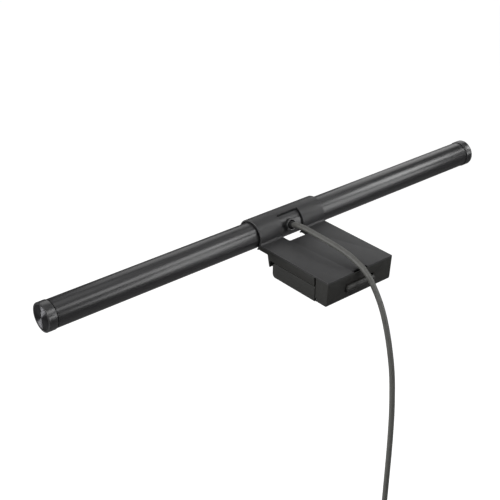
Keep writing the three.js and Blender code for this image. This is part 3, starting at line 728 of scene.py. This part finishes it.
def make_plug(grip_material, steel, tongue_material):
    """A USB-A plug: moulded grip with a ribbed strain relief, folded steel shell, tongue."""
    x, y = TAIL_X, COIL_Y - TAIL_RADIUS
    top = PLUG_TOP
    body = prism(
        "plug_grip", "z",
        rounded_outline((x - 3.75 * MM, x + 3.75 * MM), (y - 7 * MM, y + 7 * MM), [2.2 * MM] * 4),
        top - 24 * MM, top - 5.4 * MM,
    )
    round_edges(body, 0.9 * MM, 4)
    ribs = [(0, top - 6.5 * MM), (3.5 * MM, top - 6.5 * MM)]
    for i in range(4):
        z = top - (5.0 - 1.25 * i) * MM
        radius = (3.45 - 0.14 * i) * MM
        ribs += [(radius, z), (radius, z + 0.7 * MM), (radius - 0.5 * MM, z + 0.85 * MM)]
        ribs += [(radius - 0.5 * MM, z + 1.1 * MM)]
    ribs += [(2.5 * MM, top), (0, top)]
    relief = turned("relief", "z", (x, y, 0), ribs, 48)
    nose = block(
        "tool", (x - 2.4 * MM, x + 2.4 * MM), (y - 6.15 * MM, y + 6.15 * MM),
        (top - 25 * MM, top - 20.6 * MM),
    )
    grip = finish_piece(
        cut(join(body, relief), nose), "bracket", grip_material, ["usb_plug_grip"],
    )

    sheet = 0.3 * MM
    half_x, half_y = 2.25 * MM, 6 * MM
    shell = cut(
        prism(
            "plug_shell", "z",
            rounded_outline((x - half_x, x + half_x), (y - half_y, y + half_y), [0.7 * MM] * 4),
            top - 36 * MM, top - 20.7 * MM,
        ),
        prism(
            "tool", "z",
            rounded_outline(
                (x - half_x + sheet, x + half_x - sheet), (y - half_y + sheet, y + half_y - sheet),
                [0.4 * MM] * 4,
            ),
            top - 40 * MM, top - 21.2 * MM,
        ),
        *(
            block(
                "tool", (x - 4 * MM, x + 4 * MM), (y + s * 3 * MM - 1.1 * MM, y + s * 3 * MM + 1.1 * MM),
                (top - 30 * MM, top - 27.8 * MM),
            )
            for s in (-1, 1)
        ),
    )
    shell = finish_piece(shell, "bracket", steel, ["usb_plug_shell"])

    low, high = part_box("usb_plug_tongue")
    tongue = block("plug_tongue", (low.x, high.x), (low.y, high.y), (low.z, high.z))
    round_edges(tongue, 0.15 * MM, 2)
    tongue = finish_piece(tongue, "bracket", tongue_material, ["usb_plug_tongue"])
    return [grip, shell, tongue]


# ---- Lamp bar -----------------------------------------------------------------------------------

LIGHT_ANGLE = -105
LIGHT_HALF_ANGLE = 38
TOUCH_ANGLE = 150
TOUCH_X = 60 * MM
TOUCH_SIZE = (30 * MM, 7 * MM)
MIDDLE = (AXIS.y, AXIS.z)
TUBE_BORE = 9.6 * MM


def aim(made, angle, x):
    """Turns a piece drawn round +Z so that it points out of the tube at an angle, at a place along it."""
    turn = Matrix.Rotation(math.radians(angle - 90), 4, "X")
    made.data.transform(Matrix.Translation((x, AXIS.y, AXIS.z)) @ turn)
    return made


def slot_outline(length, width, steps=10):
    radius = width / 2 - 0.01 * MM
    return rounded_outline((-length / 2, length / 2), (-width / 2, width / 2), [radius] * 4, steps)


def make_tube(material):
    start, end = LIGHT_ANGLE + LIGHT_HALF_ANGLE, LIGHT_ANGLE - LIGHT_HALF_ANGLE + 360
    outline = [
        *arc(MIDDLE, TUBE_RADIUS, start, end, 132),
        *arc(MIDDLE, TUBE_BORE, end, start, 132),
    ]
    tube = prism("tube_shell", "x", outline, TUBE_LOW.x, TUBE_HIGH.x)
    socket_hole = aim(rod("tool", "z", (0, 0, 0), 3.2 * MM, 5 * MM, 14 * MM), SOCKET_ANGLE, SOCKET_X)
    gap = 0.25 * MM
    slot = prism("tool", "z", slot_outline(TOUCH_SIZE[0] + gap, TOUCH_SIZE[1] + gap), 5 * MM, 14 * MM)
    cut(tube, socket_hole, aim(slot, TOUCH_ANGLE, TOUCH_X))
    round_edges(tube, 0.2 * MM, 2)
    finish_piece(tube, "bar", material, ["bar_tube"])


def make_diffuser(material):
    face, wing = LIGHT_HALF_ANGLE - 0.9, LIGHT_HALF_ANGLE + 8
    top = TUBE_BORE - 0.1 * MM
    outline = [
        *arc(MIDDLE, TUBE_RADIUS - 0.1 * MM, LIGHT_ANGLE - face, LIGHT_ANGLE + face, 56),
        *arc(MIDDLE, top, LIGHT_ANGLE + face, LIGHT_ANGLE + wing, 6),
        *arc(MIDDLE, top - 1 * MM, LIGHT_ANGLE + wing, LIGHT_ANGLE - wing, 56),
        *arc(MIDDLE, top, LIGHT_ANGLE - wing, LIGHT_ANGLE - face, 6),
    ]
    diffuser = prism("light_diffuser", "x", outline, TUBE_LOW.x, TUBE_HIGH.x)
    round_edges(diffuser, 0.15 * MM, 2)
    finish_piece(diffuser, "bar", material, ["diffuser"])


def make_touch_lens(material):
    lens = prism("touch_window", "z", slot_outline(*TOUCH_SIZE), 5 * MM, 14 * MM)
    aim(lens, TOUCH_ANGLE, TOUCH_X)
    reach = (TOUCH_X - TOUCH_SIZE[0], TOUCH_X + TOUCH_SIZE[0])
    keep(lens, rod("tool", "x", (0, *MIDDLE), TUBE_RADIUS - 0.12 * MM, *reach, 256))
    cut(lens, rod("tool", "x", (0, *MIDDLE), TUBE_BORE + 0.2 * MM, *reach, 256))
    round_edges(lens, 0.15 * MM, 3)
    finish_piece(lens, "bar", material, ["touch_lens"])


def make_socket(collar_material, bush_material):
    collar = turned("socket_ring", "z", (0, 0, 0), [
        (3.5 * MM, 9 * MM),
        (4.9 * MM, 9 * MM),
        *arc((4.35 * MM, 13.05 * MM), 0.55 * MM, 0, 90, 6),
        *arc((4.1 * MM, 13.3 * MM), 0.3 * MM, 90, 180, 4),
        (3.5 * MM, 12.6 * MM),
    ])
    aim(collar, SOCKET_ANGLE, SOCKET_X)
    cut(collar, rod("tool", "x", (0, *MIDDLE), TUBE_RADIUS - 0.05 * MM, -20 * MM, 20 * MM, 256))
    finish_piece(collar, "bar", collar_material, ["socket_collar"])

    bush = turned("cord_sleeve", "z", (0, 0, 0), [
        (0, 6.9 * MM),
        (3.9 * MM, 6.9 * MM),
        (3.9 * MM, 8.1 * MM),
        (3.1 * MM, 8.1 * MM),
        (3.1 * MM, 12.3 * MM),
        (2.75 * MM, 12.6 * MM),
        (2.75 * MM, 13.0 * MM),
        *arc((2.75 * MM, 13.35 * MM), 0.3 * MM, -60, 90, 5),
        (2.6 * MM, 13.8 * MM),
        *arc((2.5 * MM, 14.3 * MM), 0.3 * MM, -60, 90, 5),
        (2.42 * MM, 14.75 * MM),
        *arc((2.3 * MM, 15.2 * MM), 0.2 * MM, -20, 90, 4),
        (0, BUSH_END),
    ], 64)
    aim(bush, SOCKET_ANGLE, SOCKET_X)
    finish_piece(bush, "bar", bush_material, ["cord_bush"])


def make_caps(cap_material, disc_material):
    """A turned cup on each end, with a groove where it meets the tube and a ringed disc in its face."""
    end = CAP_HIGH.x
    radius = CAP_HIGH.z - AXIS.z
    shoulder = TUBE_HIGH.x + 0.15 * MM
    for side, sign in SIDES:
        cap = turned(f"cap_{side}", "x", (0, *MIDDLE), [
            (0, shoulder - 6 * MM),
            (8 * MM, shoulder - 6 * MM),
            (8 * MM, shoulder),
            (radius - 1.15 * MM, shoulder),
            (radius - 1.15 * MM, shoulder + 0.75 * MM),
            *arc((radius - 0.3 * MM, shoulder + 1.05 * MM), 0.3 * MM, 270, 360, 5),
            *arc((radius - 0.35 * MM, end - 0.35 * MM), 0.35 * MM, 0, 45, 3),
            (radius - 0.75 * MM, end),
            (9.75 * MM, end),
            (9.75 * MM, end - 0.7 * MM),
            (0, end - 0.7 * MM),
        ], 160)
        rings = []
        pitch = 0.6 * MM
        count = 15
        for i in range(count, 0, -1):
            rings += [
                (i * pitch + 0.5 * MM, end - 0.06 * MM),
                ((i - 0.5) * pitch + 0.5 * MM, end - 0.09 * MM),
            ]
        disc = turned(f"cap_face_{side}", "x", (0, *MIDDLE), [
            (0, end - 0.8 * MM),
            (9.62 * MM, end - 0.8 * MM),
            (9.62 * MM, end - 0.2 * MM),
            *rings,
            (0, end - 0.06 * MM),
        ], 160)
        for made, material, slot, node in (
            (cap, cap_material, "anodised", f"end_cap_{side}"),
            (disc, disc_material, "turned", f"cap_disc_{side}"),
        ):
            if sign < 0:
                made.data.transform(Matrix.Scale(-1, 4, (1, 0, 0)))
                made.data.flip_normals()
            finish_piece(made, "bar", material, [node], 24)


# ---- Saddle and clip ----------------------------------------------------------------------------

SLEEVE_INNER = 12.0 * MM
SLEEVE_FROM, SLEEVE_TO = -45, 205
PLATE_TOP = 8.85 * MM
PLATE_THICK = 1.2 * MM
PLATE_BOTTOM = PLATE_TOP - PLATE_THICK
FOLD = 1.8 * MM
WINDOW_HALF = 11.3 * MM
WINDOW = (AXIS.y + 3.9 * MM, -3.7 * MM)
SCREW_X = 24.5 * MM
SCREW_Y = (9.8 * MM, 36.8 * MM)


def make_saddle(material):
    """A sleeve round the tube that runs through a fold into the plate on top of the clip, and on below it."""
    drop = PLATE_TOP + FOLD - AXIS.z
    reach = math.sqrt((SLEEVE_OUTER + FOLD) ** 2 - drop ** 2)
    fold_angle = math.degrees(math.atan2(drop, reach))
    under_angle = math.degrees(math.asin((PLATE_BOTTOM - AXIS.z) / SLEEVE_OUTER))
    outline = [
        *arc(MIDDLE, SLEEVE_OUTER, SLEEVE_TO, fold_angle, 110),
        *arc((AXIS.y + reach, PLATE_TOP + FOLD), FOLD, 180 + fold_angle, 270, 10)[1:],
        (PLATE_REAR, PLATE_TOP),
        (PLATE_REAR, PLATE_BOTTOM),
        *arc(MIDDLE, SLEEVE_OUTER, under_angle, SLEEVE_FROM, 16),
        *arc(MIDDLE, SLEEVE_INNER, SLEEVE_FROM, SLEEVE_TO, 120),
    ]
    saddle = prism("saddle_sheet", "x", outline, -HALF_WIDTH, HALF_WIDTH)
    window = prism(
        "tool", "z", rounded_outline((-WINDOW_HALF, WINDOW_HALF), WINDOW, [1.5 * MM] * 4), -0.05, 0.05,
    )
    notch = prism(
        "tool", "z",
        rounded_outline((-7.5 * MM, 7.5 * MM), (PLATE_REAR - 2.4 * MM, PLATE_REAR + 2 * MM), [1 * MM] * 4),
        0, 0.02,
    )
    cut(saddle, window, notch)
    round_edges(saddle, 0.28 * MM, 3, 50)
    finish_piece(saddle, "bracket", material, ["saddle"])


def make_liners(material):
    for side, _ in SIDES:
        low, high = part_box(f"sleeve_liner_{side}")
        outline = [
            *arc(MIDDLE, SLEEVE_INNER - 0.1 * MM, SLEEVE_FROM + 3, SLEEVE_TO - 3, 90),
            *arc(MIDDLE, TUBE_RADIUS + 0.15 * MM, SLEEVE_TO - 3, SLEEVE_FROM + 3, 90),
        ]
        liner = prism(f"liner_{side}", "x", outline, low.x, high.x)
        finish_piece(liner, "bracket", material, [f"sleeve_liner_{side}"])


def make_clip_frame(material, pad_material):
    low, high = FRAME_LOW, FRAME_HIGH
    top = PLATE_BOTTOM - 0.02 * MM
    nose = 4.2 * MM
    back = -0.9 * MM
    strip = 0.3 * MM
    outline = [
        (-18 * MM, top), (-18 * MM, nose), (-4 * MM, nose), (-1.9 * MM, low.z), (back, low.z),
        (back, strip), (high.y, strip), (high.y, top),
    ]
    inner = HALF_WIDTH - 2.2 * MM
    floor = (1.7 * MM, 3.2 * MM)
    channel = 16 * MM
    made = cut(
        prism("clip_body", "x", outline, -HALF_WIDTH, HALF_WIDTH),
        rod("tool", "x", (0, *MIDDLE), SLEEVE_OUTER + 0.05 * MM, -0.05, 0.05, 160),
        block("tool", (-WINDOW_HALF, WINDOW_HALF), (-0.019, WINDOW[1]), (0, 0.009)),
        block("tool", (-inner, inner), (back - 0.01 * MM, high.y + 1 * MM), (-1 * MM, floor[0])),
        block("tool", (-channel, channel), (1 * MM, 38.5 * MM), (floor[1], 9 * MM)),
        block("tool", (-channel, channel), (40.3 * MM, high.y + 1 * MM), (-1 * MM, 9 * MM)),
    )
    round_edges(made, 0.35 * MM, 3)
    finish_piece(made, "bracket", material, ["clip_frame"])

    low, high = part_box("lip_pad")
    pad = block("lip_cushion", (low.x, high.x), (low.y, high.y), (low.z, high.z))
    round_edges(pad, 0.2 * MM, 3)
    finish_piece(pad, "bracket", pad_material, ["lip_pad"])


def ribbed_pad(name, box, face, ribs, corner, rise=0.35 * MM):
    """A rubber pad with rounded ribs along X on its lower (face -1) or upper (face +1) side."""
    low, high = box
    outer, inner = (low.z, high.z) if face < 0 else (high.z, low.z)
    pitch = (high.y - low.y) / ribs
    wave = []
    for i in range(ribs * 8 + 1):
        y = low.y + pitch * i / 8
        wave.append((y, outer - face * rise * (1 - abs(math.sin(math.pi * i / 8)) ** 0.6)))
    pad = prism(name, "x", [*wave, (high.y, inner), (low.y, inner)], low.x, high.x)
    shape = rounded_outline((low.x, high.x), (low.y, high.y), [corner] * 4)
    return keep(pad, prism("tool", "z", shape, low.z - MM, high.z + MM))


def make_rest_pads(material, steel):
    for side, sign in SIDES:
        node = f"rest_pad_{side}"
        pad = ribbed_pad(f"cushion_{side}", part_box(node), -1, 16, 2 * MM)
        for y in SCREW_Y:
            cut(pad, rod("tool", "z", (sign * SCREW_X, y, 0), 2.7 * MM, -0.01, 0.01, 48))
        finish_piece(pad, "bracket", material, [node])
        for i, y in enumerate(SCREW_Y):
            make_screw(f"frame_screw_{side}_{i + 1}", f"pad_screw_{side}_{i + 1}", 2.3 * MM, 1 * MM, steel)


def make_screw(node, name, head, socket, material, body="bracket"):
    """A socket-head screw with its head down, where the CAD screw is."""
    low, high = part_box(node)
    centre = ((low.x + high.x) / 2, (low.y + high.y) / 2, 0)
    thick = 1.1 * MM
    shank = head * 0.55
    screw = turned(name, "z", centre, [
        (0, low.z),
        (head - 0.35 * MM, low.z),
        *arc((head - 0.35 * MM, low.z + 0.35 * MM), 0.35 * MM, -90, 0, 5),
        (head, low.z + thick),
        (shank, low.z + thick),
        (shank, high.z - 0.4 * MM),
        (shank - 0.4 * MM, high.z),
        (0, high.z),
    ], 48)
    key = rod("tool", "z", centre, socket, low.z - MM, low.z + 0.7 * MM, 6)
    finish_piece(cut(screw, key), body, material, [node])


# ---- Rear block ---------------------------------------------------------------------------------

BLOCK_WALL = 1.8 * MM
KNUCKLE = 1.75 * MM
PIN_BORE = 1.0 * MM
BLOCK_GROOVE = 2.5 * MM
CHANNEL_HALF = 16.6 * MM
CHANNEL_FLOOR = -10.8 * MM
BLOCK_SCREW = (25.5 * MM, 58 * MM)
BLOCK_LEAN = 1 * MM
BLOCK_FRONT = 51.2 * MM
TAB_HALF = 15 * MM
TAB_Z = (-6.7 * MM, -0.6 * MM)
TAB_NOSE = 62.9 * MM
TAB_SWEEP = 17.7 * MM
LEVER_Z = (-7 * MM, -4.6 * MM)


def hinge_rod(name, radius, start, end, segments=48):
    return rod(name, "x", (0, HINGE.y, HINGE.z), radius, start, end, segments)


def both(start, end):
    """The same stretch of X on each side of the middle."""
    return [(-end, -start), (start, end)]


def make_block(material, steel):
    low, high = BLOCK_LOW, BLOCK_HIGH
    front = BLOCK_FRONT  # the box's own low end is the hinge knuckles, which stand forward of it
    top = PLATE_BOTTOM - 0.02 * MM
    rear = high.y - BLOCK_WALL
    heel = 3 * MM
    side = [
        *arc((front + 0.5 * MM, low.z + 0.5 * MM), 0.5 * MM, 180, 270, 6),
        *arc((high.y - BLOCK_LEAN - heel, low.z + heel), heel, 270, 360, 14),
        (high.y, top),
        (front, top),
    ]
    back = rounded_outline((low.x, high.x), (low.z, top), [2.5 * MM, 2.5 * MM, 0.01 * MM, 0.01 * MM], 12)
    body = keep(
        prism("block_body", "x", side, low.x, high.x),
        prism("tool", "y", back, front - MM, high.y + MM),
    )
    slot_half = TAB_HALF + 0.6 * MM
    slot = rounded_outline(
        (-slot_half, slot_half), (TAB_Z[0] - 0.5 * MM, TAB_Z[1] + 0.5 * MM), [3.4 * MM] * 4, 12,
    )
    sweep = keep(
        hinge_rod("tool", TAB_SWEEP, -TAB_HALF, TAB_HALF, 160),
        block("tool", (-0.04, 0.04), (rear - 0.5 * MM, high.y + MM), (sum(TAB_Z) / 2, 9 * MM)),
    )
    cut(
        body,
        prism("tool", "y", slot, rear - MM, high.y + MM),
        sweep,
        block("tool", (-8 * MM, 8 * MM), (rear - MM, high.y - 0.8 * MM), (TAB_Z[1] + 3 * MM, 9 * MM)),
        block("tool", (-CHANNEL_HALF, CHANNEL_HALF), (front - MM, rear), (CHANNEL_FLOOR, 9 * MM)),
        hinge_rod("tool", BLOCK_GROOVE, -0.04, 0.04),
        *(
            block("tool", x, (front + 2 * MM, rear), (-9.2 * MM, 9 * MM))
            for x in both(18.3 * MM, 32.7 * MM)
        ),
    )
    for start, end in ((17.2, 19.6), (30.4, 33.2)):
        for x in both(start * MM, end * MM):
            join(
                body,
                hinge_rod("tool", KNUCKLE, *x),
                block("tool", x, (HINGE.y, HINGE.y + 3.2 * MM), (HINGE.z - 1.2 * MM, HINGE.z + KNUCKLE)),
            )
    cut(
        body,
        hinge_rod("tool", PIN_BORE, -0.04, 0.04),
        *(
            rod("tool", "z", (sign * BLOCK_SCREW[0], BLOCK_SCREW[1], 0), 3 * MM, -0.02, -11.3 * MM)
            for _, sign in SIDES
        ),
    )
    round_edges(body, 0.3 * MM, 3)
    finish_piece(body, "bracket", material, ["rear_block"])

    for side_name, _ in SIDES:
        make_screw(f"block_screw_{side_name}", f"base_screw_{side_name}", 2.6 * MM, 1.2 * MM, steel)
    chamfer = 0.3 * MM
    radius = (PIN_HIGH.z - PIN_LOW.z) / 2
    pin = turned("pivot_pin", "x", (0, HINGE.y, HINGE.z), [
        (0, PIN_LOW.x),
        (radius - chamfer, PIN_LOW.x),
        (radius, PIN_LOW.x + chamfer),
        (radius, PIN_HIGH.x - chamfer),
        (radius - chamfer, PIN_HIGH.x),
        (0, PIN_HIGH.x),
    ], 32)
    finish_piece(pin, "bracket", steel, ["hinge_pin"])


def make_springs(material):
    """Torsion springs on the pin: one leg on the block's floor, the other under the lever."""
    wire, coil, pitch = 0.27 * MM, 1.35 * MM, 0.75 * MM
    turns, steps, inner = 4, 16, 5 * MM
    for side, sign in SIDES:
        points = [(sign * inner, HINGE.y + 8 * MM, HINGE.z + coil)]
        for i in range(turns * steps + 1):
            angle = math.radians(90 + 360 * i / steps)
            x = sign * (inner + pitch * i / steps)
            points.append((x, HINGE.y + coil * math.cos(angle), HINGE.z + coil * math.sin(angle)))
        points.append((sign * (inner + pitch * turns), HINGE.y - 7.5 * MM, -7.7 * MM))
        spring = tube_along(f"torsion_spring_{side}", smooth_path(points, 0.3 * MM), wire, 10)
        for face in spring.data.polygons:
            face.use_smooth = True
        spring.data.materials.append(material)
        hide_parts(f"foot_spring_{side}")
        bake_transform(spring)


# ---- Foot ---------------------------------------------------------------------------------------

FOOT_WALL = 2.1 * MM
FOOT_REAR = 50.2 * MM
FOOT_KNUCKLE = (20 * MM, 30 * MM)


def make_foot(material, pad_material):
    low, high = FOOT_LOW, FOOT_HIGH
    side = rounded_outline((low.y, FOOT_REAR), (low.z, high.z), [4 * MM, 0.3 * MM, 0.3 * MM, 3 * MM], 14)
    back = rounded_outline((low.x, high.x), (low.z, high.z), [MM, MM, 0.3 * MM, 0.3 * MM])
    floor = low.z + FOOT_WALL
    inner = high.x - FOOT_WALL
    inside = (low.y + FOOT_WALL, FOOT_REAR - FOOT_WALL)
    groove = KNUCKLE + 0.3 * MM
    slot = 14.6 * MM
    body = keep(
        prism("foot_body", "x", side, low.x, high.x),
        prism("tool", "y", back, low.y - MM, FOOT_REAR + MM),
    )
    cut(
        body,
        block("tool", (-inner, inner), inside, (floor, MM)),
        block("tool", (-slot, slot), (inside[1] - MM, FOOT_REAR + MM), (floor, LEVER_Z[1] + 0.6 * MM)),
        hinge_rod("tool", groove, -19.8 * MM, 19.8 * MM),
        *(hinge_rod("tool", groove, *x) for x in both(30.2 * MM, 33.5 * MM)),
    )
    join(body, *(hinge_rod("tool", KNUCKLE, *x) for x in both(*FOOT_KNUCKLE)))
    cut(body, hinge_rod("tool", PIN_BORE, -0.04, 0.04))
    round_edges(body, 0.3 * MM, 3)
    finish_piece(body, "foot", material, ["foot_shell"])

    pad = ribbed_pad("grip_pad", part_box("foot_pad"), 1, 18, 3 * MM, 0.5 * MM)
    finish_piece(pad, "foot", pad_material, ["foot_pad"])


def make_lever(material, steel):
    """A plate over the pin that ends in a finger tab with a round nose."""
    face = 60.2 * MM
    radius = (TAB_Z[1] - TAB_Z[0]) / 2
    nose = arc((TAB_NOSE, TAB_Z[0] + radius), radius, -90, 90, 36)
    tab = prism("finger_lever", "x", [(face, TAB_Z[0]), *nose, (face, TAB_Z[1])], -TAB_HALF, TAB_HALF)
    ends = rounded_outline((-TAB_HALF, TAB_HALF), TAB_Z, [radius - 0.05 * MM] * 4, 16)
    keep(tab, prism("tool", "y", ends, face - 2 * MM, PLATE_REAR + 2 * MM))
    round_edges(tab, 0.5 * MM, 4, 30)
    plate = block("tool", (-14 * MM, 14 * MM), (39 * MM, 61 * MM), LEVER_Z)
    round_edges(plate, 0.3 * MM, 3)
    join(tab, plate)
    finish_piece(tab, "foot", material, ["foot_lever"])
    for side, _ in SIDES:
        make_screw(f"lever_screw_{side}", f"plate_screw_{side}", 1.9 * MM, 0.8 * MM, steel, "foot")


# ---- Build --------------------------------------------------------------------------------------

def main():
    make_camera()
    tube = anodised_tube()
    plastic = moulded_plastic()
    rubber = soft_rubber()
    steel = plain_steel()
    board = solder_mask("white_board", (0.78, 0.78, 0.76))
    plug_pieces = [*make_plug(plastic, steel, board), make_tie(rubber)]
    make_cord()
    make_stage()

    make_tube(tube)
    make_diffuser(milky_diffuser())
    make_touch_lens(gloss_plastic())
    make_socket(tube, rubber)
    make_caps(tube, turned_metal())
    make_saddle(blasted_saddle())
    make_liners(rubber)
    make_clip_frame(plastic, rubber)
    make_rest_pads(rubber, steel)
    make_block(plastic, steel)
    make_springs(steel)
    make_foot(plastic, rubber)
    make_lever(plastic, steel)

    green = solder_mask("green_board", (0.02, 0.10, 0.05))
    hidden = {
        "led_rail": mill_aluminium(), "led_strip": board, "driver_board": green, "touch_board": green,
        "cap_screw_left": steel, "cap_screw_right": steel, "counterweight_left": steel,
        "counterweight_right": steel, "foot_plate": steel,
    }
    for node, material in hidden.items():
        frame["nodes"][node].data.materials.clear()
        frame["nodes"][node].data.materials.append(material)


main()
